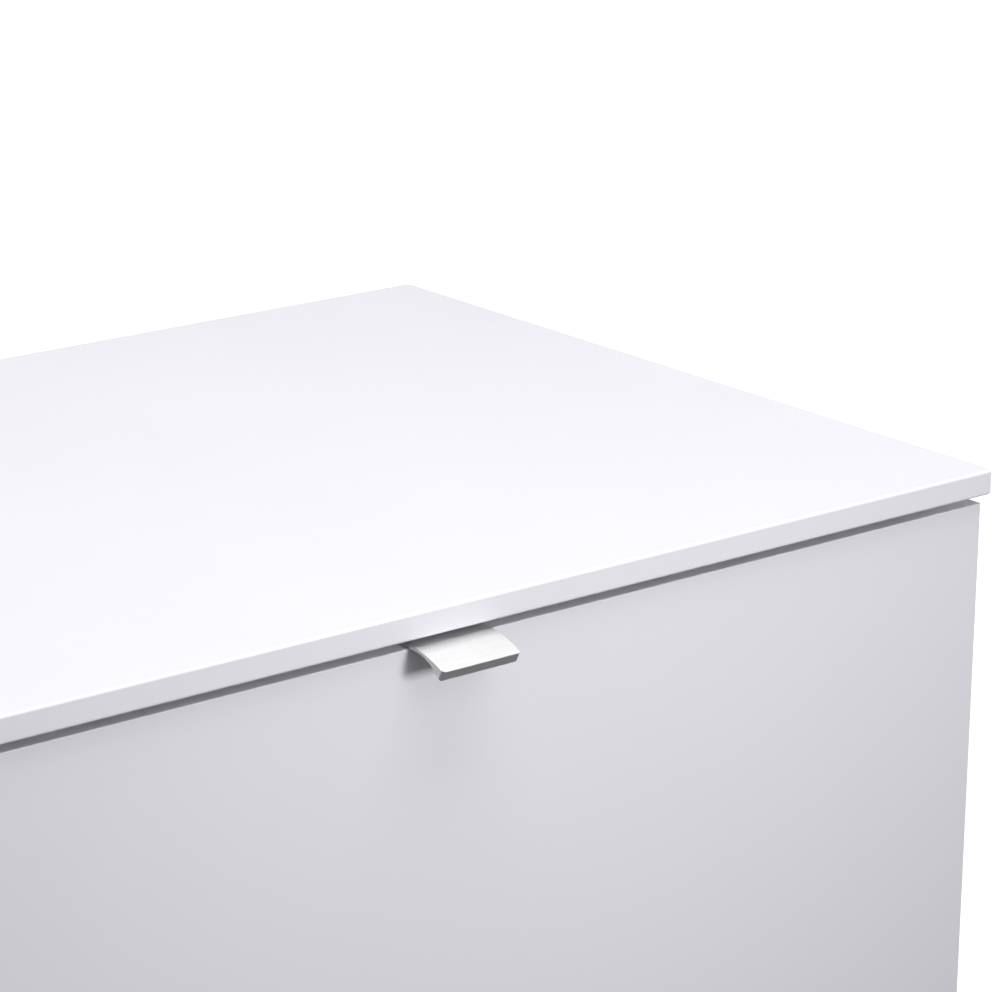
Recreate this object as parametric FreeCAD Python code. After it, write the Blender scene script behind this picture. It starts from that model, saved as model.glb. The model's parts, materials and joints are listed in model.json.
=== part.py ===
"""Wooden toy box on castors: a lacquered box with an overhanging lid on friction hinges.

Millimetres, +Z up. The origin is on the floor, under the middle of the whole object's box.
The front faces -Y, and X runs to the right as seen from the front.
"""
import FreeCAD, Part
import math
import os

V = FreeCAD.Vector
X_AXIS, Y_AXIS, Z_AXIS = V(1, 0, 0), V(0, 1, 0), V(0, 0, 1)

# ---- driving dimensions -------------------------------------------------------------------
LID_WIDTH, LID_DEPTH, LID_THICK = 808.0, 560.0, 15.0
HEIGHT = 450.0               # floor to the lid's top
LID_GAP = 6.0                # shadow gap between the body's rim and the lid
OVERHANG = 5.0               # how far the lid stands past the body on every side
LID_CORNER_R = 4.0           # corner radius in plan
LID_EDGE_R = 1.6             # softened upper and lower arrises of the lid
BOARD = 16.0                 # front, back and side panels
BOARD_EDGE_R = 0.6           # softened outer arrises of the panels
BASE_THICK = 18.0            # bottom panel, which carries the castors
FLOOR_GAP = 14.0             # panels' lower edge above the floor

PULL_LENGTH, PULL_FLANGE, PULL_SHEET = 52.5, 14.0, 2.0
PULL_REACH, PULL_DROP = 29.0, 5.0      # lip's upper edge, out from and below the rim
PULL_TIP_IN, PULL_TIP_FACE = 3.1, 6.0  # slope and height of the lip's end face
PULL_MID_THICK = 3.0                   # lip's thickness half way out
PULL_TIP_R, PULL_END_R = 0.4, 0.3      # softened edges along the tip and round the ends
PULL_BOW = 0.9                         # lip's upper face, above its chord
PULL_TIP_CHAMFER = 1.5                 # upright corners of the tip
PULL_SCREW_PITCH, PULL_SCREW_LENGTH = 32.0, 22.0
PULL_SCREW_SHARE = 0.55                # of the flange's depth, to the screws

HINGE_SPREAD = 290.0         # between neighbouring hinges
HINGE_LENGTH, LEAF_THICK = 64.0, 2.0
LEAF_HEIGHT = 34.0           # body leaf down the back panel
LEAF_DEPTH = 34.0            # lid leaf forward under the lid
BARREL_R, BARREL_BORE_R, HINGE_PIN_R = 6.0, 4.5, 2.5
BARREL_CLEAR = 0.5           # barrel to lid and to leaf plane
KNUCKLE_GAP, KNUCKLE_END_R = 0.4, 0.6
LEAF_EDGE_R, LEAF_CORNER_R = 0.5, 4.0
LEAF_BACK_IN = 1.0           # lid leaf's rear edge, in from the lid's rear edge
PIN_END_R = 0.5
# Leaf screws: along the leaf in leaf lengths, and across it in leaf widths.
LEAF_SCREW_SPOTS = ((-0.36, 0.34), (0.36, 0.34), (0.0, 0.58))
LEAF_SCREW_LENGTH = 12.0
RUNNING_FIT = 0.05           # radial clearance of a running shaft
CLIP_COUNT, CLIP_WIDTH, CLIP_SLIT = 5, 5.0, 1.2

WHEEL_R, WHEEL_WIDTH, TREAD = 20.0, 17.0, 4.5
AXLE_R = 3.0
WHEEL_SIDE_GAP = 1.5
HUB_BOSS, HUB_RIM = 3.0, 2.2  # hub's walls round the axle and under the tread
HUB_RECESS_SHARE = 0.28      # of the width, from each side to the web
TREAD_EDGE_R = 2.0
FORK_SHEET, FORK_PLATE = 2.0, 2.5
FORK_BOSS, FORK_TOP_SHARE = 4.0, 0.75   # cheek round the axle, and its half width at the plate in wheel radii
RIVET_HEAD = 1.8             # axle head's height and its rim past the axle
PLATE_LENGTH, PLATE_WIDTH, PLATE_CORNER_R = 58.0, 38.0, 5.0
PLATE_SCREW_X, PLATE_SCREW_Y = 14.0, 23.0   # half pitches of the plate's four screws
CASTOR_CLEAR = 5.0           # wheel to the plate
CASTOR_INSET_X, CASTOR_INSET_Y = 70.0, 75.0  # castor centre in from the body's faces

CAM_R, CAM_DEPTH, CAM_SETBACK = 7.5, 13.0, 34.0   # deeper in a thick panel, to reach its middle
CAM_FLOOR = 0.3              # least cam material past the bolt's head
CAM_CAP_R, CAM_CAP_THICK = 8.5, 1.2
CAM_SLOT_LENGTH, CAM_SLOT_WIDTH, CAM_SLOT_DEPTH = 9.0, 1.2, 1.6
BOLT_R, BOLT_HEAD_R, BOLT_THREAD_R, BOLT_THREAD = 3.0, 3.7, 2.5, 11.0
BOLT_BORE_R = 3.5
DOWEL_R, DOWEL_IN_FACE, DOWEL_IN_EDGE = 4.0, 10.0, 18.0
DOWEL_PITCH = 32.0           # dowel beside its cam bolt
JOINT_INSET = 60.0           # first cam in from a panel's end
BASE_JOINT_SHARE = 0.2       # of the body's size, from the bottom panel's middle to its joints

BUMPER_R, BUMPER_STEM_R, BUMPER_STEM = 5.0, 2.5, 8.0
BUMPER_INSET, BUMPER_EDGE_R = 60.0, 1.2

SCREW_R, SCREW_HEAD_R, SCREW_DOME = 1.75, 3.5, 0.7   # shank, and raised countersunk head
CROSS_LENGTH, CROSS_WIDTH, CROSS_DEPTH = 3.8, 0.7, 1.1   # cross recess, its depth below the head's rim
SINK_CLEAR = 0.15                            # countersink's radius past the head's
HEAD_TAPER = SCREW_HEAD_R - SCREW_R          # countersunk head's height, at 45 degrees

# ---- places worked out from them ----------------------------------------------------------
BARREL_OFFSET = BARREL_R + BARREL_CLEAR      # hinge axis to the lid's underside, and behind the leaf
HINGE_OUT = BARREL_OFFSET + LEAF_THICK + BARREL_R   # how far the hinges stand behind the back panel
BODY_WIDTH, BODY_DEPTH = LID_WIDTH - 2 * OVERHANG, LID_DEPTH - 2 * OVERHANG
WHOLE_DEPTH = PULL_REACH + BODY_DEPTH + HINGE_OUT
FRONT_Y = PULL_REACH - WHOLE_DEPTH / 2       # front panel's outer face
BACK_Y = FRONT_Y + BODY_DEPTH
SIDE_X = BODY_WIDTH / 2
LID_Z = HEIGHT - LID_THICK                   # lid's underside
RIM_Z = LID_Z - LID_GAP                      # panels' upper edge
FORK_TOP_Z = 2 * WHEEL_R + CASTOR_CLEAR + FORK_PLATE
BASE_TOP_Z = FORK_TOP_Z + BASE_THICK
INNER_X = SIDE_X - BOARD
INNER_FRONT_Y, INNER_BACK_Y = FRONT_Y + BOARD, BACK_Y - BOARD
BASE_JOINT_X, BASE_JOINT_Y = BODY_WIDTH * BASE_JOINT_SHARE, BODY_DEPTH * BASE_JOINT_SHARE
PIVOT_Y, PIVOT_Z = BACK_Y + LEAF_THICK + BARREL_OFFSET, LID_Z - BARREL_OFFSET


# ---- helpers -------------------------------------------------------------------------------
def block(low, high):
    """Box between two corners."""
    size = V(*high) - V(*low)
    return Part.makeBox(size.x, size.y, size.z, V(*low))


def rod(radius, start, end):
    """Round bar between two points."""
    start, end = V(*start), V(*end)
    return Part.makeCylinder(radius, (end - start).Length, start, end - start)


def cone(radius_a, radius_b, start, end):
    start, end = V(*start), V(*end)
    return Part.makeCone(radius_a, radius_b, (end - start).Length, start, end - start)


def soften(shape, radius, wanted):
    """Round the edges for which wanted(edge) is true."""
    edges = [edge for edge in shape.Edges if wanted(edge)]
    return shape.makeFillet(radius, edges)


def along(edge, axis):
    """True for a straight edge that runs along the axis."""
    if not isinstance(edge.Curve, Part.Line):
        return False
    return abs(edge.Curve.Direction.dot(axis)) > 0.999


def is_round(edge):
    return isinstance(edge.Curve, Part.Circle)


def cut_all(shape, tools):
    return shape.cut(Part.makeCompound(tools)) if tools else shape


def write(node, shapes):
    """One STEP file per node, with one or more separate solids."""
    shape = shapes[0] if len(shapes) == 1 else Part.makeCompound(shapes)
    shape.exportStep("parts/" + node + ".step")


def driver_slot(middle, lengthwise, widthwise, length, width, sweep):
    """Block of space for a screwdriver's blade, swept down from a rectangle about middle."""
    corners = [middle + lengthwise * (a * length / 2) + widthwise * (b * width / 2)
               for a, b in ((-1, -1), (1, -1), (1, 1), (-1, 1), (-1, -1))]
    return Part.Face(Part.makePolygon(corners)).extrude(sweep)


def countersunk_screw(head, direction, length):
    """Screw with a domed head, whose rim is centred on the point head, and a cross recess."""
    head, direction = V(*head), V(*direction)
    neck = head + direction * HEAD_TAPER
    tip_start = head + direction * (length - 2 * SCREW_R)
    end = head + direction * length
    top = head - direction * SCREW_DOME
    ball_r = (SCREW_HEAD_R ** 2 + SCREW_DOME ** 2) / (2 * SCREW_DOME)
    dome = Part.makeSphere(ball_r, top + direction * ball_r).common(rod(SCREW_HEAD_R, top, head))
    screw = dome.fuse([cone(SCREW_HEAD_R, SCREW_R, head, neck), rod(SCREW_R, neck, tip_start),
                       cone(SCREW_R, SCREW_R / 5, tip_start, end)])
    side = direction.cross(X_AXIS if abs(direction.x) < 0.5 else Y_AXIS)
    for arm in (side, direction.cross(side)):
        across = direction.cross(arm)
        screw = screw.cut(driver_slot(top, arm, across, CROSS_LENGTH, CROSS_WIDTH,
                                      direction * (SCREW_DOME + CROSS_DEPTH)))
    return screw.removeSplitter()


def screw_void(head, direction, length):
    """The space a countersunk screw takes up."""
    head, direction = V(*head), V(*direction)
    neck = head + direction * HEAD_TAPER
    mouth_r = SCREW_HEAD_R + SINK_CLEAR
    return cone(mouth_r, SCREW_R, head, neck).fuse(rod(SCREW_R, neck, head + direction * length))


# ---- knock-down joints: cam, bolt and dowel --------------------------------------------------
class CamJoint:
    """Cam set in one panel's inner face, with its bolt screwed into another panel's face.

    seat is the point where the bolt crosses from panel to panel, inward runs from there to the
    cam, and face points out of the surface that the cam is set in. beside runs from the bolt to
    its dowel.
    """

    def __init__(self, seat, inward, face, beside, thick):
        self.seat, self.inward, self.face = V(*seat), V(*inward), V(*face)
        self.dowel_seat = self.seat + V(*beside) * DOWEL_PITCH
        self.axis = self.seat + self.inward * CAM_SETBACK
        self.mouth = self.axis + self.face * (thick / 2)
        self.depth = max(CAM_DEPTH, thick / 2 + BOLT_HEAD_R + CAM_FLOOR)

    def edge_panel_cuts(self):
        pocket = rod(CAM_R, self.mouth, self.mouth - self.face * self.depth)
        bore = rod(BOLT_BORE_R, self.seat, self.axis)
        return [pocket, bore, rod(DOWEL_R, self.dowel_seat, self.dowel_seat + self.inward * DOWEL_IN_EDGE)]

    def face_panel_cuts(self):
        thread = rod(BOLT_THREAD_R, self.seat, self.seat - self.inward * BOLT_THREAD)
        return [thread, rod(DOWEL_R, self.dowel_seat, self.dowel_seat - self.inward * DOWEL_IN_FACE)]

    def bolt(self):
        head_start = self.axis - self.inward * BOLT_HEAD_R
        bolt = rod(BOLT_THREAD_R, self.seat - self.inward * BOLT_THREAD, self.seat)
        bolt = bolt.fuse(rod(BOLT_R, self.seat, head_start))
        return bolt.fuse(rod(BOLT_HEAD_R, head_start, self.axis)).removeSplitter()

    def cam(self):
        cam = rod(CAM_R, self.mouth, self.mouth - self.face * self.depth)
        tunnel = rod(BOLT_HEAD_R, self.axis - self.inward * (CAM_R + 1), self.axis)
        across = self.face.cross(self.inward)
        slot = driver_slot(self.mouth, across, self.inward, CAM_SLOT_LENGTH, CAM_SLOT_WIDTH,
                           self.face * -CAM_SLOT_DEPTH)
        return cam.cut(tunnel).cut(slot)

    def cap(self):
        cap = rod(CAM_CAP_R, self.mouth, self.mouth + self.face * CAM_CAP_THICK)
        rim = max(cap.Edges, key=lambda edge: edge.CenterOfMass.dot(self.face))
        return cap.makeChamfer(CAM_CAP_THICK / 2, [rim])

    def dowel(self):
        start = self.dowel_seat - self.inward * DOWEL_IN_FACE
        return rod(DOWEL_R, start, self.dowel_seat + self.inward * DOWEL_IN_EDGE)


def upright_joints(edge_y, inward_y, inner_panel):
    """Two joints up each corner, either of a side panel to the front or of the back to a side."""
    joints = []
    for side in (-1, 1):
        for z in (BASE_TOP_Z + JOINT_INSET, RIM_Z - JOINT_INSET):
            beside = (0, 0, 1) if z < (BASE_TOP_Z + RIM_Z) / 2 else (0, 0, -1)
            if inner_panel:
                seat = (side * INNER_X, edge_y, z)
                joints.append(CamJoint(seat, (-side, 0, 0), (0, -1, 0), beside, BOARD))
            else:
                seat = (side * (SIDE_X - BOARD / 2), edge_y, z)
                joints.append(CamJoint(seat, (0, inward_y, 0), (-side, 0, 0), beside, BOARD))
    return joints


def base_joints():
    """The bottom panel's joints to the front, the back and the two sides, cams underneath."""
    z = BASE_TOP_Z - BASE_THICK / 2
    joints = {"front": [], "back": [], "left": [], "right": []}
    for side in (-1, 1):
        x = side * BASE_JOINT_X
        beside = (-side, 0, 0)
        joints["front"].append(CamJoint((x, INNER_FRONT_Y, z), (0, 1, 0), (0, 0, -1), beside, BASE_THICK))
        joints["back"].append(CamJoint((x, INNER_BACK_Y, z), (0, -1, 0), (0, 0, -1), beside, BASE_THICK))
        name = "left" if side < 0 else "right"
        for end in (-1, 1):
            y = (INNER_FRONT_Y + INNER_BACK_Y) / 2 + end * BASE_JOINT_Y
            seat = (side * INNER_X, y, z)
            joints[name].append(CamJoint(seat, (-side, 0, 0), (0, 0, -1), (0, -end, 0), BASE_THICK))
    return joints


# ---- panels and lid --------------------------------------------------------------------------
def lid():
    board = block((-LID_WIDTH / 2, FRONT_Y - OVERHANG, LID_Z), (LID_WIDTH / 2, BACK_Y + OVERHANG, HEIGHT))
    board = soften(board, LID_CORNER_R, lambda edge: along(edge, Z_AXIS))
    board = soften(board, LID_EDGE_R, lambda edge: abs(edge.BoundBox.ZLength) < 0.01)
    return cut_all(board, hinge_screw_voids("lid"))


def front_panel(joints, more_cuts):
    panel = block((-SIDE_X, FRONT_Y, FLOOR_GAP), (SIDE_X, INNER_FRONT_Y, RIM_Z))
    outer = lambda edge: abs(edge.CenterOfMass.y - FRONT_Y) < 0.01
    panel = soften(panel, BOARD_EDGE_R, outer)
    return cut_all(panel, [tool for joint in joints for tool in joint.face_panel_cuts()] + more_cuts)


def back_panel(joints, base):
    panel = block((-INNER_X, INNER_BACK_Y, FLOOR_GAP), (INNER_X, BACK_Y, RIM_Z))
    cuts = [tool for joint in joints for tool in joint.edge_panel_cuts()]
    cuts += [tool for joint in base for tool in joint.face_panel_cuts()]
    return cut_all(panel, cuts + hinge_screw_voids("body"))


def side_panel(side, front, back, base):
    low, high = sorted((side * SIDE_X, side * INNER_X))
    panel = block((low, INNER_FRONT_Y, FLOOR_GAP), (high, BACK_Y, RIM_Z))
    outer = lambda edge: (abs(edge.CenterOfMass.x - side * SIDE_X) < 0.01
                          and edge.CenterOfMass.y > INNER_FRONT_Y + 1)
    panel = soften(panel, BOARD_EDGE_R, outer)
    cuts = [tool for joint in front for tool in joint.edge_panel_cuts()]
    cuts += [tool for joint in back + base for tool in joint.face_panel_cuts()]
    cuts += [rod(BUMPER_STEM_R, (side * BUMPER_X, y, RIM_Z - BUMPER_STEM), (side * BUMPER_X, y, RIM_Z))
             for y in BUMPER_Y]
    return cut_all(panel, cuts)


def bottom_panel(base):
    panel = block((-INNER_X, INNER_FRONT_Y, FORK_TOP_Z), (INNER_X, INNER_BACK_Y, BASE_TOP_Z))
    cuts = [tool for joints in base.values() for joint in joints for tool in joint.edge_panel_cuts()]
    for x, y in CASTOR_CENTRES:
        cuts += [screw_void(*screw) for screw in castor_screws(x, y)]
    return cut_all(panel, cuts)


# ---- rim bumpers ------------------------------------------------------------------------------
BUMPER_X = SIDE_X - BOARD / 2
BUMPER_Y = (FRONT_Y + BUMPER_INSET, BACK_Y - BUMPER_INSET)


def bumper(x, y):
    pad = rod(BUMPER_R, (x, y, RIM_Z), (x, y, LID_Z))
    pad = soften(pad, BUMPER_EDGE_R, lambda edge: edge.CenterOfMass.z > LID_Z - 0.01)
    return pad.fuse(rod(BUMPER_STEM_R, (x, y, RIM_Z - BUMPER_STEM), (x, y, RIM_Z))).removeSplitter()


# ---- edge pull ---------------------------------------------------------------------------------
def pull_screws():
    """The screws' heads lie in the middle of the flange's depth."""
    y, z = FRONT_Y + PULL_FLANGE * PULL_SCREW_SHARE, RIM_Z + PULL_SHEET
    return [((x, y, z), (0, 0, -1), PULL_SCREW_LENGTH) for x in (-PULL_SCREW_PITCH / 2, PULL_SCREW_PITCH / 2)]


def pull():
    """Flange on the rim and a lip that curves out and down from the lid's edge, thickening to its tip."""
    flange_z, back_y = RIM_Z + PULL_SHEET, FRONT_Y + PULL_FLANGE
    crest_y, tip_y = FRONT_Y - OVERHANG, FRONT_Y - PULL_REACH
    crest, tip_top = V(0, crest_y, flange_z), V(0, tip_y, RIM_Z - PULL_DROP)
    outward = (tip_top - crest).cross(X_AXIS).normalize()
    upper_mid = (crest + tip_top) / 2 + outward * math.copysign(PULL_BOW, outward.z)
    lower_mid = upper_mid + V(0, 0, -PULL_MID_THICK)
    tip_low = tip_top + V(0, PULL_TIP_IN, -PULL_TIP_FACE)
    foot_back, foot_front = V(0, back_y, RIM_Z), V(0, crest_y, RIM_Z)
    outline = [
        Part.LineSegment(foot_back, V(0, back_y, flange_z)).toShape(),
        Part.LineSegment(V(0, back_y, flange_z), crest).toShape(),
        Part.Arc(crest, upper_mid, tip_top).toShape(),
        Part.LineSegment(tip_top, tip_low).toShape(),
        Part.Arc(tip_low, lower_mid, foot_front).toShape(),
        Part.LineSegment(foot_front, foot_back).toShape(),
    ]
    face = Part.Face(Part.Wire(outline))
    face.translate(V(-PULL_LENGTH / 2, 0, 0))
    bar = face.extrude(V(PULL_LENGTH, 0, 0))
    end, tip_back = PULL_LENGTH / 2, tip_y + PULL_TIP_IN
    at_end = lambda edge: abs(abs(edge.CenterOfMass.x) - end) < 0.01
    corners = [edge for edge in bar.Edges if at_end(edge) and edge.BoundBox.YMax < tip_back + 0.01]
    bar = bar.makeChamfer(PULL_TIP_CHAMFER, corners)
    bar = soften(bar, PULL_TIP_R, lambda edge: along(edge, X_AXIS) and edge.CenterOfMass.y < tip_back + 0.01)
    bar = soften(bar, PULL_END_R, lambda edge: at_end(edge) and edge.CenterOfMass.y < crest_y - 1)
    return cut_all(bar, [screw_void(*screw) for screw in pull_screws()])


# ---- friction hinges -----------------------------------------------------------------------------
HINGE_X = (-HINGE_SPREAD, 0.0, HINGE_SPREAD)
HINGE_NAMES = ("left", "middle", "right")
BARREL_HALF = HINGE_LENGTH / 4               # half length of the middle knuckle


def hinge_screws(which, x):
    """Three screws of one leaf, in a triangle."""
    screws = []
    for along_leaf, across_leaf in LEAF_SCREW_SPOTS:
        screw_x = x + along_leaf * HINGE_LENGTH
        if which == "body":
            head = (screw_x, BACK_Y + LEAF_THICK, PIVOT_Z - BARREL_OFFSET - across_leaf * LEAF_HEIGHT)
            screws.append((head, (0, -1, 0), LEAF_SCREW_LENGTH))
        else:
            head = (screw_x, BACK_Y - across_leaf * LEAF_DEPTH, LID_Z - LEAF_THICK)
            screws.append((head, (0, 0, 1), LEAF_SCREW_LENGTH))
    return screws


def hinge_screw_voids(which):
    return [screw_void(*screw) for x in HINGE_X for screw in hinge_screws(which, x)]


def hinge_body_leaf(x):
    """Leaf on the back panel with the middle knuckle, whose wide bore holds the friction clips."""
    low, high = x - HINGE_LENGTH / 2, x + HINGE_LENGTH / 2
    clear_z = PIVOT_Z - BARREL_R - BARREL_CLEAR
    plate = block((low, BACK_Y, clear_z - LEAF_HEIGHT), (high, BACK_Y + LEAF_THICK, clear_z))
    plate = soften(plate, LEAF_CORNER_R, lambda edge: (along(edge, Y_AXIS)
                                                       and edge.CenterOfMass.z < clear_z - 1))
    plate = soften(plate, LEAF_EDGE_R, lambda edge: edge.CenterOfMass.y > BACK_Y + LEAF_THICK - 0.01
                   and edge.CenterOfMass.z < clear_z - 0.01)
    web = block((x - BARREL_HALF, BACK_Y, clear_z - 1), (x + BARREL_HALF, BACK_Y + LEAF_THICK, PIVOT_Z))
    bridge = block((x - BARREL_HALF, BACK_Y, PIVOT_Z - LEAF_THICK), (x + BARREL_HALF, PIVOT_Y, PIVOT_Z))
    knuckle = soften(rod(BARREL_R, (x - BARREL_HALF, PIVOT_Y, PIVOT_Z), (x + BARREL_HALF, PIVOT_Y, PIVOT_Z)),
                     KNUCKLE_END_R, is_round)
    leaf = plate.fuse([web, bridge, knuckle]).removeSplitter()
    bore = rod(BARREL_BORE_R, (x - BARREL_HALF - 1, PIVOT_Y, PIVOT_Z),
               (x + BARREL_HALF + 1, PIVOT_Y, PIVOT_Z))
    return cut_all(leaf, [bore] + [screw_void(*screw) for screw in hinge_screws("body", x)])


def hinge_lid_leaf(x):
    """Leaf under the lid with the two outer knuckles, which grip the pin."""
    low, high = x - HINGE_LENGTH / 2, x + HINGE_LENGTH / 2
    lift, rear_y = LID_Z - LEAF_THICK, BACK_Y + OVERHANG - LEAF_BACK_IN
    plate = block((low, BACK_Y - LEAF_DEPTH, lift), (high, rear_y, LID_Z))
    plate = soften(plate, LEAF_CORNER_R, lambda edge: along(edge, Z_AXIS) and edge.CenterOfMass.y < BACK_Y)
    plate = soften(plate, LEAF_EDGE_R, lambda edge: edge.CenterOfMass.z < lift + 0.01
                   and edge.CenterOfMass.y < rear_y - 0.01)
    pieces = []
    for start, end in ((low, x - BARREL_HALF - KNUCKLE_GAP), (x + BARREL_HALF + KNUCKLE_GAP, high)):
        knuckle = rod(BARREL_R, (start, PIVOT_Y, PIVOT_Z), (end, PIVOT_Y, PIVOT_Z))
        pieces.append(soften(knuckle, KNUCKLE_END_R, is_round))
        web_back = PIVOT_Y - BARREL_R + LEAF_THICK
        pieces.append(block((start, PIVOT_Y - BARREL_R, PIVOT_Z), (end, web_back, LID_Z)))
        pieces.append(block((start, BACK_Y, lift), (end, web_back, LID_Z)))
    leaf = plate.fuse(pieces).removeSplitter()
    bore = rod(HINGE_PIN_R, (low - 1, PIVOT_Y, PIVOT_Z), (high + 1, PIVOT_Y, PIVOT_Z))
    room = rod(BARREL_R + KNUCKLE_GAP, (x - BARREL_HALF - KNUCKLE_GAP, PIVOT_Y, PIVOT_Z),
               (x + BARREL_HALF + KNUCKLE_GAP, PIVOT_Y, PIVOT_Z))
    return cut_all(leaf, [bore, room] + [screw_void(*screw) for screw in hinge_screws("lid", x)])


def hinge_pin(x):
    reach = HINGE_LENGTH / 2
    pin = rod(HINGE_PIN_R, (x - reach, PIVOT_Y, PIVOT_Z), (x + reach, PIVOT_Y, PIVOT_Z))
    return soften(pin, PIN_END_R, is_round)


def friction_clips(x):
    """Spring-steel rings, slit on top, that are held by the middle knuckle and squeeze the pin."""
    pitch = 2 * BARREL_HALF / CLIP_COUNT
    clips = []
    for index in range(CLIP_COUNT):
        middle = x + (index - (CLIP_COUNT - 1) / 2) * pitch
        start, end = middle - CLIP_WIDTH / 2, middle + CLIP_WIDTH / 2
        ring = rod(BARREL_BORE_R, (start, PIVOT_Y, PIVOT_Z), (end, PIVOT_Y, PIVOT_Z))
        ring = ring.cut(rod(HINGE_PIN_R + RUNNING_FIT, (start, PIVOT_Y, PIVOT_Z), (end, PIVOT_Y, PIVOT_Z)))
        slit = block((start, PIVOT_Y - CLIP_SLIT / 2, PIVOT_Z),
                     (end, PIVOT_Y + CLIP_SLIT / 2, PIVOT_Z + BARREL_R))
        clips.append(ring.cut(slit))
    return clips


# ---- castors --------------------------------------------------------------------------------------
CASTOR_X, CASTOR_FRONT_Y, CASTOR_BACK_Y = (SIDE_X - CASTOR_INSET_X, FRONT_Y + CASTOR_INSET_Y,
                                           BACK_Y - CASTOR_INSET_Y)
CASTOR_NAMES = ("front_left", "front_right", "back_left", "back_right")
CASTOR_CENTRES = tuple((x, y) for y in (CASTOR_FRONT_Y, CASTOR_BACK_Y) for x in (-CASTOR_X, CASTOR_X))
CASTOR_SCREW_LENGTH = 15.0
CHEEK_X = WHEEL_WIDTH / 2 + WHEEL_SIDE_GAP   # inner face of the fork's cheek
PLATE_Z = FORK_TOP_Z - FORK_PLATE            # plate's underside


def castor_screws(x, y):
    return [((x + sx * PLATE_SCREW_X, y + sy * PLATE_SCREW_Y, PLATE_Z), (0, 0, 1), CASTOR_SCREW_LENGTH)
            for sx in (-1, 1) for sy in (-1, 1)]


def castor_fork(x, y):
    """Pressed steel plate with two cheeks that hold the axle."""
    plate = block((x - PLATE_WIDTH / 2, y - PLATE_LENGTH / 2, PLATE_Z),
                  (x + PLATE_WIDTH / 2, y + PLATE_LENGTH / 2, FORK_TOP_Z))
    fork = soften(plate, PLATE_CORNER_R, lambda edge: along(edge, Z_AXIS))
    for side in (-1, 1):
        inner, outer = x + side * CHEEK_X, x + side * (CHEEK_X + FORK_SHEET)
        start = V(min(inner, outer), y, 0)
        half_top, boss = WHEEL_R * FORK_TOP_SHARE, AXLE_R + FORK_BOSS
        lean = math.asin((half_top - boss) / (PLATE_Z - WHEEL_R)) if half_top > boss else 0.0
        out_y, out_z = boss * math.cos(lean), -boss * math.sin(lean)
        corners = [V(0, -half_top, PLATE_Z), V(0, -out_y, WHEEL_R + out_z), V(0, 0, WHEEL_R - boss),
                   V(0, out_y, WHEEL_R + out_z), V(0, half_top, PLATE_Z)]
        outline = [Part.LineSegment(corners[0], corners[1]).toShape(),
                   Part.Arc(corners[1], corners[2], corners[3]).toShape(),
                   Part.LineSegment(corners[3], corners[4]).toShape(),
                   Part.LineSegment(corners[4], corners[0]).toShape()]
        cheek = Part.Face(Part.Wire(outline)).extrude(V(FORK_SHEET, 0, 0))
        cheek.translate(start)
        fork = fork.fuse(cheek)
    axle_hole = rod(AXLE_R, (x - PLATE_WIDTH, y, WHEEL_R), (x + PLATE_WIDTH, y, WHEEL_R))
    cuts = [axle_hole] + [screw_void(*screw) for screw in castor_screws(x, y)]
    return cut_all(fork.removeSplitter(), cuts)


def castor_axle(x, y):
    """Rivet axle with a domed head outside each cheek."""
    reach = CHEEK_X + FORK_SHEET
    axle = rod(AXLE_R, (x - reach, y, WHEEL_R), (x + reach, y, WHEEL_R))
    for side in (-1, 1):
        axle = axle.fuse(cone(AXLE_R + RIVET_HEAD, AXLE_R, (x + side * reach, y, WHEEL_R),
                              (x + side * (reach + RIVET_HEAD), y, WHEEL_R)))
    return axle.removeSplitter()


def wheel_hub(x, y):
    """Moulded hub: rim, web and bored boss."""
    rim_r, half = WHEEL_R - TREAD, WHEEL_WIDTH / 2
    hub = rod(rim_r, (x - half, y, WHEEL_R), (x + half, y, WHEEL_R))
    boss_r, rim_inner, recess = AXLE_R + HUB_BOSS, rim_r - HUB_RIM, WHEEL_WIDTH * HUB_RECESS_SHARE
    for side in (-1, 1):
        start, end = (x + side * half, y, WHEEL_R), (x + side * (half - recess), y, WHEEL_R)
        hub = hub.cut(rod(rim_inner, start, end).cut(rod(boss_r, start, end)))
    bore = rod(AXLE_R + RUNNING_FIT, (x - half - 1, y, WHEEL_R), (x + half + 1, y, WHEEL_R))
    return hub.cut(bore)


def wheel_tread(x, y):
    half = WHEEL_WIDTH / 2
    tread = rod(WHEEL_R, (x - half, y, WHEEL_R), (x + half, y, WHEEL_R))
    tread = soften(tread, TREAD_EDGE_R, is_round)
    return tread.cut(rod(WHEEL_R - TREAD, (x - half, y, WHEEL_R), (x + half, y, WHEEL_R)))


# ---- the whole box -----------------------------------------------------------------------------------
def write_panels(fronts, backs, base):
    pull_cuts = [screw_void(*screw) for screw in pull_screws()]
    write("lid_panel", [lid()])
    write("front_panel", [front_panel(fronts + base["front"], pull_cuts)])
    write("back_panel", [back_panel(backs, base["back"])])
    write("bottom_panel", [bottom_panel(base)])
    for side, name in ((-1, "left"), (1, "right")):
        mine = lambda joints: [joint for joint in joints if joint.seat.x * side > 0]
        write(name + "_side_panel", [side_panel(side, mine(fronts), mine(backs), base[name])])
        write(name + "_rim_bumpers", [bumper(side * BUMPER_X, y) for y in BUMPER_Y])


def write_joinery(groups):
    for name, joints in groups.items():
        write(name + "_cam_locks", [joint.cam() for joint in joints])
        write(name + "_cam_bolts", [joint.bolt() for joint in joints])
        write(name + "_dowels", [joint.dowel() for joint in joints])
    visible = [joint for name, joints in groups.items() if name != "base" for joint in joints]
    write("cam_cover_caps", [joint.cap() for joint in visible])


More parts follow.
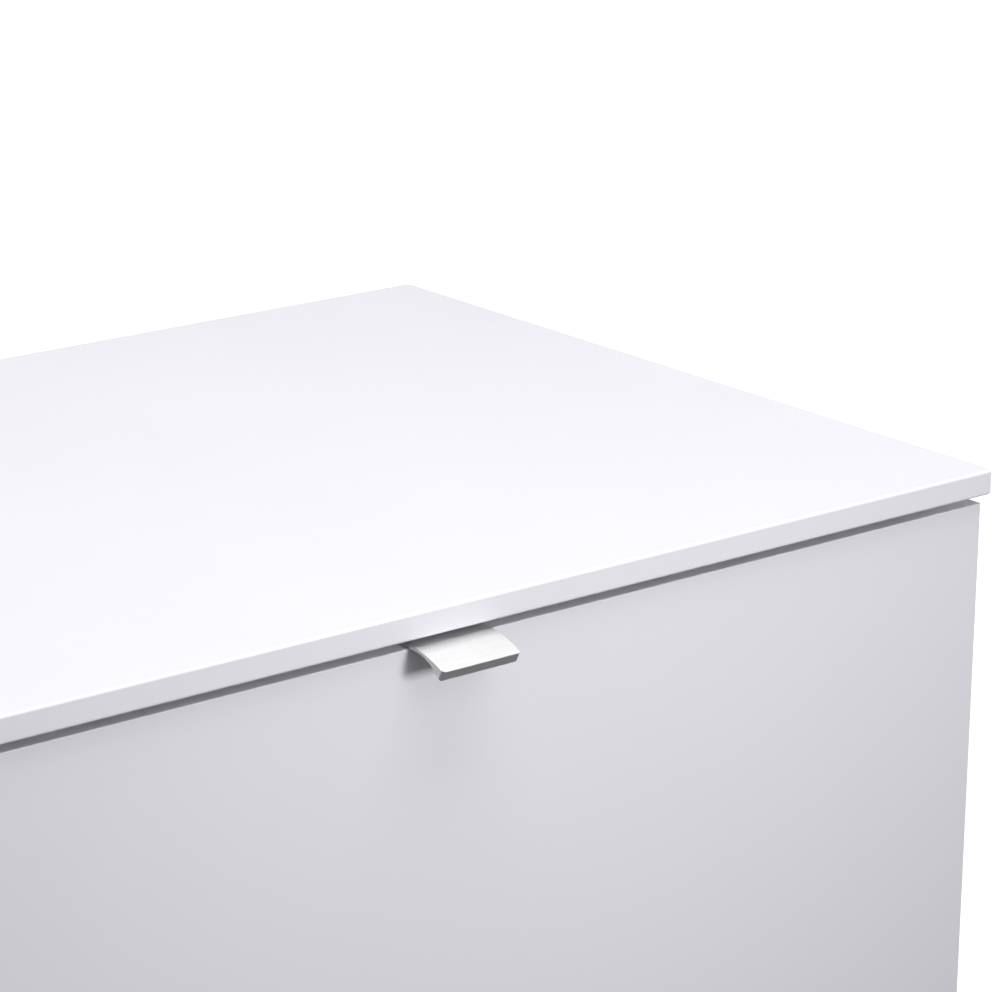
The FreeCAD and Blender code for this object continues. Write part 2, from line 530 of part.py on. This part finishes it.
def write_hinges():
    for name, x in zip(HINGE_NAMES, HINGE_X):
        write("hinge_" + name + "_body_leaf", [hinge_body_leaf(x)])
        write("hinge_" + name + "_lid_leaf", [hinge_lid_leaf(x)])
        write("hinge_" + name + "_pin", [hinge_pin(x)])
        write("hinge_" + name + "_friction_clips", friction_clips(x))
    for which in ("body", "lid"):
        write("hinge_" + which + "_screws",
              [countersunk_screw(*screw) for x in HINGE_X for screw in hinge_screws(which, x)])


def write_castors():
    for name, (x, y) in zip(CASTOR_NAMES, CASTOR_CENTRES):
        write("castor_" + name + "_fork", [castor_fork(x, y)])
        write("castor_" + name + "_axle", [castor_axle(x, y)])
        write("castor_" + name + "_hub", [wheel_hub(x, y)])
        write("castor_" + name + "_tread", [wheel_tread(x, y)])
    write("castor_screws", [countersunk_screw(*screw) for x, y in CASTOR_CENTRES
                            for screw in castor_screws(x, y)])


def main():
    os.makedirs("parts", exist_ok=True)
    fronts = upright_joints(INNER_FRONT_Y, 1, inner_panel=False)
    backs = upright_joints((INNER_BACK_Y + BACK_Y) / 2, 0, inner_panel=True)
    base = base_joints()
    write_panels(fronts, backs, base)
    write_joinery({"front": fronts, "back": backs, "base": [j for joints in base.values() for j in joints]})
    write("pull", [pull()])
    write("pull_screws", [countersunk_screw(*screw) for screw in pull_screws()])
    write_hinges()
    write_castors()


main()
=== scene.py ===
"""Looks of the wooden toy box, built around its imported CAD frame. Metres, +Z up, front faces -Y."""
import json
import math

import bmesh
import bpy
from mathutils import Matrix, Vector


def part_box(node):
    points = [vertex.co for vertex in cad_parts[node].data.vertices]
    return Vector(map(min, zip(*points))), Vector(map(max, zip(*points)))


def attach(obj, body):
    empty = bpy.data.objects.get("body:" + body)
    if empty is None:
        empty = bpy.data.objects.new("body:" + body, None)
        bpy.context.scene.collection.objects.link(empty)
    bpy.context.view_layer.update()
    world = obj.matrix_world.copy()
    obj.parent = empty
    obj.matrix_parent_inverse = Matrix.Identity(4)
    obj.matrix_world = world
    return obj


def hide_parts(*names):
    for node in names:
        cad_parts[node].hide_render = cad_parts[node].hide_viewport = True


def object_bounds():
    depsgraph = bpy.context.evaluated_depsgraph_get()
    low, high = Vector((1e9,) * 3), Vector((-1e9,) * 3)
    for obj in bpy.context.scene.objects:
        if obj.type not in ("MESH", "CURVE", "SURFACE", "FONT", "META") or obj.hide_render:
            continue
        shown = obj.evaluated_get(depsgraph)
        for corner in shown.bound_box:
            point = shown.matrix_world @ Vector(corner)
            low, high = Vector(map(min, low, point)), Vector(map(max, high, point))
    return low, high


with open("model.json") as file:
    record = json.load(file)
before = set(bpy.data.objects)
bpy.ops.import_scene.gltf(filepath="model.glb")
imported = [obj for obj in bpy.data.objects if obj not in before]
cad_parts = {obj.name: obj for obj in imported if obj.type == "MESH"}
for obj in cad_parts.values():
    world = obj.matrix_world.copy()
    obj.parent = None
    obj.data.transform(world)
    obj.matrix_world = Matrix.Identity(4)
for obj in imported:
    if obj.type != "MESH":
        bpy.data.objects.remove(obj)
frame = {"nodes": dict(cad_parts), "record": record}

CAD_BOUNDS = [list(corner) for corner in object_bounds()]
MM = 0.001
NODES = frame["nodes"]


# ---- node materials -------------------------------------------------------------------------
EDGE_FULL, EDGE_NONE = 0.75, 0.995   # cosines between the bevelled and the plain normal


class Material:
    """A Principled material and short calls for the nodes that drive it."""

    def __init__(self, name, **sockets):
        self.material = bpy.data.materials.new(name)
        self.material.use_nodes = True
        self.tree = self.material.node_tree
        self.shader = self.tree.nodes["Principled BSDF"]
        self.coords = self.tree.nodes.new("ShaderNodeTexCoord").outputs["Object"]
        for socket, value in sockets.items():
            self.shader.inputs[socket.replace("_", " ")].default_value = value

    def node(self, kind, settings=None, **inputs):
        made = self.tree.nodes.new("ShaderNode" + kind)
        for key, value in (settings or {}).items():
            setattr(made, key, value)
        for key, value in inputs.items():
            self.feed(made.inputs[key.replace("_", " ")], value)
        return made

    def feed(self, socket, value):
        """Links another node's output to the socket, or sets the number on it."""
        if isinstance(value, bpy.types.NodeSocket):
            self.tree.links.new(value, socket)
        else:
            socket.default_value = value

    def stretched(self, scale):
        return self.node("Mapping", Vector=self.coords, Scale=scale).outputs["Vector"]

    def noise(self, scale, detail=2.0, stretch=(1, 1, 1), rough=0.5):
        return self.node("TexNoise", Vector=self.stretched(stretch), Scale=scale, Detail=detail,
                         Roughness=rough).outputs["Fac"]

    def span(self, value, low, high, start=0.0, end=1.0):
        """value from start..end mapped to low..high."""
        made = self.node("MapRange", Value=value)
        for index, number in enumerate((start, end, low, high)):
            made.inputs[index + 1].default_value = number
        return made.outputs["Result"]

    def math(self, operation, first, second):
        made = self.node("Math", {"operation": operation})
        self.feed(made.inputs[0], first)
        self.feed(made.inputs[1], second)
        return made.outputs[0]

    def ramp(self, value, stops):
        made = self.node("ValToRGB", Fac=value)
        elements = made.color_ramp.elements
        while len(elements) < len(stops):
            elements.new(0.5)
        for element, (place, colour) in zip(elements, stops):
            element.position = place
            element.color = (*colour, 1)
        return made.outputs["Color"]

    def edge(self, radius):
        """0 on flat faces, rising to 1 on arrises within about the radius."""
        rounded = self.node("Bevel", {"samples": 4}, Radius=radius).outputs["Normal"]
        plain = self.node("NewGeometry").outputs["Normal"]
        dot = self.node("VectorMath", {"operation": "DOT_PRODUCT"})
        self.feed(dot.inputs[0], rounded)
        self.feed(dot.inputs[1], plain)
        return self.span(dot.outputs["Value"], 1.0, 0.0, EDGE_FULL, EDGE_NONE)

    def bump(self, height, depth, strength=1.0, after=None):
        made = self.node("Bump", Height=height, Distance=depth, Strength=strength)
        if after is not None:
            self.tree.links.new(after, made.inputs["Normal"])
        return made.outputs["Normal"]

    def drive(self, socket, value):
        """Links a node's output to one of the shader's own sockets."""
        self.tree.links.new(value, self.shader.inputs[socket])


def grey(level, warmth=0.0):
    return (level * (1 + warmth), level, level * (1 - warmth))


def lacquer():
    """Satin white lacquer over board: orange peel, faint handling marks, and painted shade on the arrises."""
    m = Material("white_lacquer", IOR=1.48)
    tone = m.span(m.noise(2.2, 3.0), 0.3, 0.8)
    # painted shade: the base colour is made darker on the arrises, where the bevel mask is high
    shade = m.math("SUBTRACT", tone, m.math("MULTIPLY", m.edge(1.2 * MM), 0.5))
    arris_shade_white, middle_white, face_white = (0.76, 0.753, 0.80), (0.825, 0.817, 0.870), (0.838, 0.831, 0.884)
    m.drive("Base Color", m.ramp(shade, ((0.0, arris_shade_white), (0.35, middle_white), (1.0, face_white))))
    marks = m.noise(14.0, 6.0, rough=0.65)
    hairs = m.noise(60.0, 4.0, stretch=(0.15, 1.0, 1.0))
    rough = m.math("ADD", m.span(marks, 0.33, 0.42, 0.35, 0.7), m.span(hairs, -0.015, 0.02))
    m.drive("Roughness", rough)
    peel = m.bump(m.noise(420.0, 2.0), 0.012 * MM, 0.6)
    m.drive("Normal", m.bump(m.noise(9.0, 1.0), 0.10 * MM, 0.25, after=peel))
    return m.material


def satin_aluminium():
    """Anodised aluminium with a fine grain along its length."""
    m = Material("satin_aluminium", Metallic=1.0)
    grain = m.noise(2600.0, 4.0, stretch=(0.02, 1, 1))
    m.drive("Base Color", m.ramp(grain, ((0.3, grey(0.70)), (0.7, grey(0.78)))))
    m.drive("Roughness", m.math("ADD", m.span(grain, 0.46, 0.54),
                                m.math("MULTIPLY", m.noise(90.0, 4.0), 0.05)))
    m.drive("Normal", m.bump(grain, 0.01 * MM, 0.5))
    return m.material


def worn_metal(name, dark, light, rough, grain_scale, stretch=(1, 1, 1), edge_light=None):
    """Plated or blued metal with fine grain, patchy roughness and brighter rubbed edges."""
    m = Material(name, Metallic=1.0)
    grain = m.noise(grain_scale, 5.0, stretch=stretch)
    patch = m.noise(55.0, 4.0, rough=0.6)
    shade = m.math("ADD", m.math("MULTIPLY", grain, 0.5), m.math("MULTIPLY", patch, 0.5))
    shade = m.math("ADD", shade, m.math("MULTIPLY", m.edge(0.6 * MM), 0.25))
    m.drive("Base Color", m.ramp(shade, ((0.25, dark), (0.65, light), (0.95, edge_light or light))))
    m.drive("Roughness", m.math("ADD", m.span(patch, rough - 0.06, rough + 0.08, 0.3, 0.7),
                                m.math("MULTIPLY", grain, 0.06)))
    m.drive("Normal", m.bump(grain, 0.012 * MM, 0.5))
    return m.material


def moulded(name, dark, light, rough, texture_depth=0.03):
    """Moulded plastic or rubber: spark-eroded texture, faint flow and rubbed edges."""
    m = Material(name)
    flow = m.noise(40.0, 3.0, stretch=(1, 0.4, 1))
    m.drive("Base Color", m.ramp(m.math("ADD", flow, m.math("MULTIPLY", m.edge(0.5 * MM), 0.2)),
                                 ((0.3, dark), (0.8, light))))
    m.drive("Roughness", m.span(m.noise(120.0, 4.0), rough - 0.06, rough + 0.08, 0.3, 0.7))
    m.drive("Normal", m.bump(m.noise(1500.0, 3.0), texture_depth * MM, 0.6))
    return m.material


def silicone():
    """Translucent silicone, a little cloudy."""
    m = Material("clear_silicone", Transmission_Weight=0.55, IOR=1.41)
    m.drive("Base Color", m.ramp(m.noise(300.0, 3.0), ((0.2, grey(0.80)), (0.8, grey(0.90)))))
    m.drive("Roughness", m.span(m.noise(260.0, 3.0), 0.22, 0.34))
    m.drive("Normal", m.bump(m.noise(900.0, 2.0), 0.01 * MM, 0.5))
    return m.material


def beech():
    """Plain beech with soft rings and fine pores along the grain."""
    m = Material("beech")
    rings = m.node("TexWave", {"wave_type": "BANDS"}, Vector=m.stretched((1, 1, 0.2)), Scale=160.0,
                   Distortion=5.0, Detail=3.0, Detail_Scale=2.0).outputs["Fac"]
    pores = m.noise(2200.0, 2.0, stretch=(0.1, 1, 1))
    shade = m.math("ADD", m.math("MULTIPLY", rings, 0.6), m.math("MULTIPLY", pores, 0.4))
    m.drive("Base Color", m.ramp(shade, ((0.2, (0.50, 0.33, 0.19)), (0.8, (0.70, 0.52, 0.34)))))
    m.drive("Roughness", m.span(pores, 0.55, 0.72))
    m.drive("Normal", m.bump(pores, 0.05 * MM, 0.6))
    return m.material


def make_materials():
    return {
        "white_lacquer": lacquer(),
        "satin_aluminium": satin_aluminium(),
        "hinge_steel": worn_metal("hinge_steel", grey(0.56), grey(0.64, 0.01), 0.32, 1800.0,
                                  (0.03, 1, 1), grey(0.76)),
        "plated_steel": worn_metal("plated_steel", grey(0.52, -0.01), grey(0.68, -0.01), 0.28, 900.0,
                                   edge_light=grey(0.78)),
        "cast_zinc": worn_metal("cast_zinc", grey(0.36, -0.01), grey(0.50, -0.01), 0.42, 700.0,
                                edge_light=grey(0.60)),
        "spring_steel": worn_metal("spring_steel", (0.08, 0.09, 0.13), (0.16, 0.17, 0.22), 0.30, 1400.0),
        "white_plastic": moulded("white_plastic", grey(0.76), grey(0.82), 0.42),
        "grey_plastic": moulded("grey_plastic", grey(0.10, -0.02), grey(0.15, -0.02), 0.45),
        "soft_tread": moulded("soft_tread", grey(0.035), grey(0.055), 0.62, 0.06),
        "clear_silicone": silicone(),
        "beech": beech(),
    }


def paint_cad_nodes(materials):
    """Every CAD node gets the material of its own slot."""
    slots = {row["node"]: row["material_slot"] for row in frame["record"]["subparts"]}
    for name, node in NODES.items():
        node.data.materials.clear()
        node.data.materials.append(materials[slots[name]])


# ---- small turned and moulded pieces ------------------------------------------------------------
TURN_STEPS = 72              # facets round a turned piece
CORNER_STEPS = 3             # facets round an eased corner
EASE_LIMIT = 0.45            # most of a side that the easing of one corner takes
SHARP_ANGLE = 40             # degrees; shallower edges are shaded smooth
SAME_POINT = 0.001 * MM      # points of a CAD node nearer than this are one
WELD = 0.0005 * MM           # and those of a piece made here


def solids(node):
    """(lowest corner, highest corner) of each separate solid of a CAD node."""
    mesh = bmesh.new()
    mesh.from_mesh(NODES[node].data)
    bmesh.ops.remove_doubles(mesh, verts=mesh.verts, dist=SAME_POINT)
    left, found = set(mesh.verts), []
    while left:
        reached, waiting = set(), [left.pop()]
        while waiting:
            vertex = waiting.pop()
            reached.add(vertex)
            near = {edge.other_vert(vertex) for edge in vertex.link_edges} & left
            left -= near
            waiting.extend(near)
        found.append(tuple(Vector([pick(vertex.co[i] for vertex in reached) for i in range(3)])
                           for pick in (min, max)))
    mesh.free()
    return sorted(found, key=lambda corners: tuple(round(value, 5) for value in corners[0]))


def eased(profile, radius):
    """The closed profile with its corners rounded, except those on the axis."""
    points = []
    count = len(profile)
    for index, corner in enumerate(profile):
        before, here, after = (Vector(profile[(index + step) % count]) for step in (-1, 0, 1))
        if corner[1] == 0:
            points.append(here)
            continue
        reach = min(radius, (before - here).length * EASE_LIMIT, (after - here).length * EASE_LIMIT)
        start = here + (before - here).normalized() * reach
        end = here + (after - here).normalized() * reach
        for step in range(CORNER_STEPS + 1):
            share = step / CORNER_STEPS
            points.append(start * (1 - share) ** 2 + here * 2 * share * (1 - share) + end * share ** 2)
    return points


def turned(mesh, profile, centre, axis):
    """Sweeps the closed profile of (along the axis, radius) points round the axis into the bmesh."""
    side = axis.orthogonal().normalized()
    across = axis.cross(side)
    rings = []
    for step in range(TURN_STEPS):
        angle = 2 * math.pi * step / TURN_STEPS
        out = side * math.cos(angle) + across * math.sin(angle)
        rings.append([mesh.verts.new(centre + axis * along + out * radius) for along, radius in profile])
    for ring, following in zip(rings, rings[1:] + rings[:1]):
        for index in range(len(profile)):
            other = (index + 1) % len(profile)
            if profile[index][1] > 0 or profile[other][1] > 0:
                mesh.faces.new((ring[index], ring[other], following[other], following[index]))


def loft(mesh, lower, upper):
    """Closed solid between two outlines of the same count of points."""
    low, high = ([mesh.verts.new(point) for point in outline] for outline in (lower, upper))
    mesh.faces.new(low[::-1])
    mesh.faces.new(high)
    for index in range(len(low)):
        other = (index + 1) % len(low)
        mesh.faces.new((low[index], low[other], high[other], high[index]))


def finished_piece(name, mesh, body, slot, materials, *nodes):
    """Turns the bmesh into a named piece that rides on a body and stands for CAD nodes."""
    bmesh.ops.remove_doubles(mesh, verts=mesh.verts, dist=WELD)
    bmesh.ops.recalc_face_normals(mesh, faces=mesh.faces)
    data = bpy.data.meshes.new(name)
    mesh.to_mesh(data)
    mesh.free()
    data.shade_smooth()
    data.set_sharp_from_angle(angle=math.radians(SHARP_ANGLE))
    data.materials.append(materials[slot])
    piece = bpy.data.objects.new(name, data)
    bpy.context.scene.collection.objects.link(piece)
    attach(piece, body)
    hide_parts(*nodes)


TREAD_FLASH = 0.12 * MM      # height of the moulding line round the middle of the tread
TREAD_GROOVE, TREAD_GROOVE_WIDE, TREAD_GROOVE_AT = 0.45 * MM, 1.0 * MM, 0.5   # place in half widths
TREAD_GROOVE_FLOOR = 0.6     # groove's width at its floor, as a share
TREAD_SHOULDER, SHOULDER_STEPS = 1.9 * MM, 6
FLASH_FOOT = 1.5             # half width of the moulding line in heights
HUB_RIBS, HUB_RIB_THICK, HUB_RIB_INSET = 7, 1.1 * MM, 1.2 * MM
HUB_RIB_CREST, HUB_RIB_TURN = 0.7, 0.25   # crest's share of the thickness, and the sides' offset in pitches
HUB_RIM_WALL, HUB_BOSS_WALL, HUB_BORE_R = 2.2 * MM, 3.0 * MM, 3.05 * MM
HUB_WEB_HALF = 2.6 * MM
HUB_DRAFT = 0.5 * MM         # walls' slope across the recess


def wheel_pieces(name, materials):
    """Hub with ribs between boss and rim, and a tread with a moulding line and two grooves."""
    body, axis = "wheel_" + name, Vector((1, 0, 0))
    low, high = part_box("castor_" + name + "_tread")
    centre, half, outer_r = (low + high) / 2, (high.x - low.x) / 2, (high.z - low.z) / 2
    rim_low, rim_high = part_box("castor_" + name + "_hub")
    rim_r = (rim_high.z - rim_low.z) / 2
    face_r = outer_r - TREAD_FLASH
    groove_at, groove_half = TREAD_GROOVE_AT * half, TREAD_GROOVE_WIDE / 2
    half_profile = [(-half, rim_r)]
    for step in range(SHOULDER_STEPS + 1):
        angle = math.pi / 2 * step / SHOULDER_STEPS
        half_profile.append((-half + TREAD_SHOULDER * (1 - math.cos(angle)),
                             face_r - TREAD_SHOULDER * (1 - math.sin(angle))))
    half_profile += [(-groove_at - groove_half, face_r),
                     (-groove_at - groove_half * TREAD_GROOVE_FLOOR, face_r - TREAD_GROOVE),
                     (-groove_at + groove_half * TREAD_GROOVE_FLOOR, face_r - TREAD_GROOVE),
                     (-groove_at + groove_half, face_r),
                     (-TREAD_FLASH * FLASH_FOOT, face_r)]
    mirrored = [(-along, radius) for along, radius in reversed(half_profile)]
    tread = bmesh.new()
    turned(tread, half_profile + [(0, outer_r)] + mirrored, centre, axis)
    finished_piece("tread_" + name, tread, body, "soft_tread", materials, "castor_" + name + "_tread")

    boss_r, inner_r = HUB_BORE_R + HUB_BOSS_WALL, rim_r - HUB_RIM_WALL
    quarter = [(half, rim_r), (half, inner_r), (HUB_WEB_HALF, inner_r - HUB_DRAFT),
               (HUB_WEB_HALF, boss_r + HUB_DRAFT), (half, boss_r), (half, HUB_BORE_R)]
    profile = quarter + [(-along, radius) for along, radius in reversed(quarter)]
    hub = bmesh.new()
    turned(hub, eased(profile, HUB_DRAFT), centre, axis)
    for side in (-1, 1):
        for index in range(HUB_RIBS):
            angle = 2 * math.pi * (index + HUB_RIB_TURN * side) / HUB_RIBS
            out = Vector((0, math.cos(angle), math.sin(angle)))
            across = axis.cross(out)
            corners = ((boss_r - HUB_DRAFT, -1), (inner_r + HUB_DRAFT, -1),
                       (inner_r + HUB_DRAFT, 1), (boss_r - HUB_DRAFT, 1))
            root = (HUB_WEB_HALF - HUB_DRAFT, HUB_RIB_THICK)
            crest = (half - HUB_RIB_INSET, HUB_RIB_THICK * HUB_RIB_CREST)
            outlines = [[centre + axis * side * along + out * radius + across * offset * thick / 2
                         for radius, offset in corners] for along, thick in (root, crest)]
            loft(hub, *outlines)
    finished_piece("hub_" + name, hub, body, "grey_plastic", materials, "castor_" + name + "_hub")


CAP_DISH = 0.35 * MM         # depth of the shallow dish in the cap's face
CAP_DISH_SHARE, CAP_DISH_FLOOR = 0.55, 0.7   # dish's radius share, and its floor's share of that
CAP_WALL_SHARE = 0.4         # upright part of the cap's rim, of its thickness


def cover_caps(materials):
    """Push-on caps over the cams: chamfered discs with a dished face."""
    mesh = bmesh.new()
    box_middle = (Vector(CAD_BOUNDS[0]) + Vector(CAD_BOUNDS[1])) / 2
    for low, high in solids("cam_cover_caps"):
        size, centre = high - low, (low + high) / 2
        index = min(range(3), key=lambda i: size[i])
        axis = Vector((0, 0, 0))
        axis[index] = math.copysign(1, box_middle[index] - centre[index])
        radius, thick = max(size) / 2, size[index]
        foot = centre - axis * (thick / 2)
        dish_r = radius * CAP_DISH_SHARE
        profile = [(0, 0), (0, radius), (thick * CAP_WALL_SHARE, radius),
                   (thick, radius - thick * (1 - CAP_WALL_SHARE)), (thick, dish_r),
                   (thick - CAP_DISH, dish_r * CAP_DISH_FLOOR), (thick - CAP_DISH, 0)]
        turned(mesh, eased(profile, CAP_DISH), foot, axis)
    finished_piece("cover_caps", mesh, "box", "white_plastic", materials, "cam_cover_caps")


BUMPER_FOOT_SHARE, BUMPER_TOP_SHARE, BUMPER_DIMPLE_SHARE = 0.93, 0.78, 0.35   # of the pad's radius
BUMPER_SHOULDER = 0.3        # height of the foot and of the top, as a share of the pad's
BUMPER_DIMPLE = 0.4 * MM
BUMPER_STEM_R = 2.5 * MM
BUMPER_STEM_TIP, BUMPER_STEM_WALL = 0.7, 0.8   # shares: the tip's radius, and the wall's height


def rim_bumpers(side, materials):
    """Silicone bumpers: a pad with rounded shoulders and a dimpled top, on a tapered stem."""
    mesh, up = bmesh.new(), Vector((0, 0, 1))
    node = side + "_rim_bumpers"
    rim_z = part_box(side + "_side_panel")[1].z
    for low, high in solids(node):
        middle, radius = (low + high) / 2, (high.x - low.x) / 2
        foot = Vector((middle.x, middle.y, rim_z))
        stem, tall = rim_z - low.z, high.z - rim_z
        profile = [(-stem, 0), (-stem, BUMPER_STEM_R * BUMPER_STEM_TIP),
                   (-stem * BUMPER_STEM_WALL, BUMPER_STEM_R), (0, BUMPER_STEM_R),
                   (0, radius * BUMPER_FOOT_SHARE), (tall * BUMPER_SHOULDER, radius),
                   (tall * (1 - BUMPER_SHOULDER), radius), (tall, radius * BUMPER_TOP_SHARE),
                   (tall, radius * BUMPER_DIMPLE_SHARE), (tall - BUMPER_DIMPLE, 0)]
        turned(mesh, eased(profile, BUMPER_DIMPLE), foot, up)
    finished_piece("bumpers_" + side, mesh, "box", "clear_silicone", materials, node)


def add_pieces(materials):
    """The finer pieces that stand for plainer CAD nodes."""
    for name in ("front_left", "front_right", "back_left", "back_right"):
        wheel_pieces(name, materials)
    cover_caps(materials)
    for side in ("left", "right"):
        rim_bumpers(side, materials)


# ---- stage: floor, light and camera -------------------------------------------------------------
FLOOR_GLOW_NEAR, FLOOR_GLOW_FAR = 0.55, 0.95   # painted light: the floor glows, weaker near the object and stronger far from it, so that the backdrop stays pale
FLOOR_NEAR, FLOOR_FAR, FLOOR_SIZE = 0.7, 2.2, 40.0
SKY_LIGHT, GROUND_LIGHT = 0.40, 0.08           # what the object sees above and below the horizon
SKY_LOW, SKY_HIGH = -0.15, 0.25                # heights of view direction between which they change over
# Name, place, aim, size, spread in degrees and watts. Places and aims are from the middle of the
# object's front, at the height of the lid's top.
LIGHTS = (("top_softbox", (0.1, 0.0, 2.4), (0, 0, 0), 2.2, 180, 55.5),
          ("front_softbox", (0.25, -1.7, 0.3), (0.1, 0, 0.12), 0.40, 80, 3.5),
          ("high_softbox", (0.0, -1.7, 1.3), (0, 0, -0.1), 0.8, 120, 1.3),
          ("left_softbox", (-2.4, 0.45, -0.26), (-0.4, 0.28, -0.25), 0.34, 120, 8.0),
          ("right_softbox", (2.4, 0.45, -0.26), (0.4, 0.28, -0.25), 0.34, 120, 8.0),
          ("back_softbox", (0.3, 2.7, -0.26), (0, 0.56, -0.25), 0.34, 120, 8.0))


def set_stage():
    """A pale paper floor with painted light: it glows, less near the object than far from it, and so fades to
    white away from the object.
    """
    low = Vector(CAD_BOUNDS[0])
    bpy.ops.mesh.primitive_plane_add(size=FLOOR_SIZE, location=(0, 0, low.z))
    floor = bpy.context.object
    floor.name = "studio_floor"
    m = Material("floor_paper", Roughness=0.9, Emission_Color=(1, 1, 1, 1))
    m.drive("Base Color", m.ramp(m.noise(0.8, 3.0), ((0.2, grey(0.55)), (0.8, grey(0.57)))))
    reach = m.node("VectorMath", {"operation": "LENGTH"})
    m.feed(reach.inputs[0], m.coords)
    # painted light: the floor's glow rises with distance from the floor's middle
    m.drive("Emission Strength", m.span(reach.outputs["Value"], FLOOR_GLOW_NEAR, FLOOR_GLOW_FAR,
                                        FLOOR_NEAR, FLOOR_FAR))
    floor.data.materials.append(m.material)
    floor.visible_diffuse = False
    floor.visible_glossy = False


def set_sky():
    """Soft light from above and little from below; the camera itself sees a plain white room."""
    world = bpy.data.worlds.new("studio")
    world.use_nodes = True
    nodes, links = world.node_tree.nodes, world.node_tree.links
    background = nodes["Background"]
    background.inputs["Color"].default_value = (1.0, 1.0, 1.0, 1)
    height = nodes.new("ShaderNodeSeparateXYZ")
    links.new(nodes.new("ShaderNodeTexCoord").outputs["Generated"], height.inputs[0])
    level = nodes.new("ShaderNodeMapRange")
    links.new(height.outputs["Z"], level.inputs["Value"])
    for index, number in enumerate((SKY_LOW, SKY_HIGH, GROUND_LIGHT, SKY_LIGHT)):
        level.inputs[index + 1].default_value = number
    seen = nodes.new("ShaderNodeMix")
    links.new(nodes.new("ShaderNodeLightPath").outputs["Is Camera Ray"], seen.inputs["Factor"])
    links.new(level.outputs["Result"], seen.inputs["A"])
    seen.inputs["B"].default_value = 1.0
    links.new(seen.outputs["Result"], background.inputs["Strength"])
    bpy.context.scene.world = world


def set_lights():
    """Square lamps round the object, which the camera itself doesn't see."""
    low, high = (Vector(corner) for corner in CAD_BOUNDS)
    centre = Vector((0, low.y, high.z))
    for name, place, aim, size, spread, watts in LIGHTS:
        data = bpy.data.lights.new(name, "AREA")
        data.shape, data.size, data.spread, data.energy = "SQUARE", size, math.radians(spread), watts
        lamp = bpy.data.objects.new(name, data)
        lamp.location = centre + Vector(place)
        lamp.rotation_euler = (Vector(aim) - Vector(place)).to_track_quat("-Z", "Y").to_euler()
        lamp.visible_camera = False
        bpy.context.scene.collection.objects.link(lamp)
    bpy.context.scene.view_settings.view_transform = "Standard"


CAMERA_PLACE = (-1.2223, -1.8052, 1.1135)
CAMERA_TURN, CAMERA_TILT, CAMERA_ROLL = 39.194, 17.134, 0.589   # degrees: right of +Y, down, roll
CAMERA_LENS, SENSOR = 143.23, 36.0


def set_camera():
    """The main view's camera."""
    turn, tilt, roll = (math.radians(angle) for angle in (CAMERA_TURN, CAMERA_TILT, CAMERA_ROLL))
    ahead = Vector((math.sin(turn) * math.cos(tilt), math.cos(turn) * math.cos(tilt), -math.sin(tilt)))
    right = Vector((math.cos(turn), -math.sin(turn), 0))
    up = right.cross(ahead)
    right, up = right * math.cos(roll) + up * math.sin(roll), up * math.cos(roll) - right * math.sin(roll)
    data = bpy.data.cameras.new("camera")
    data.lens, data.sensor_width = CAMERA_LENS, SENSOR
    camera = bpy.data.objects.new("camera", data)
    camera.matrix_world = Matrix.Translation(CAMERA_PLACE) @ Matrix((right, up, -ahead)).transposed().to_4x4()
    bpy.context.scene.collection.objects.link(camera)
    bpy.context.scene.camera = camera


def main():
    materials = make_materials()
    paint_cad_nodes(materials)
    add_pieces(materials)
    set_stage()
    set_sky()
    set_lights()
    set_camera()


main()
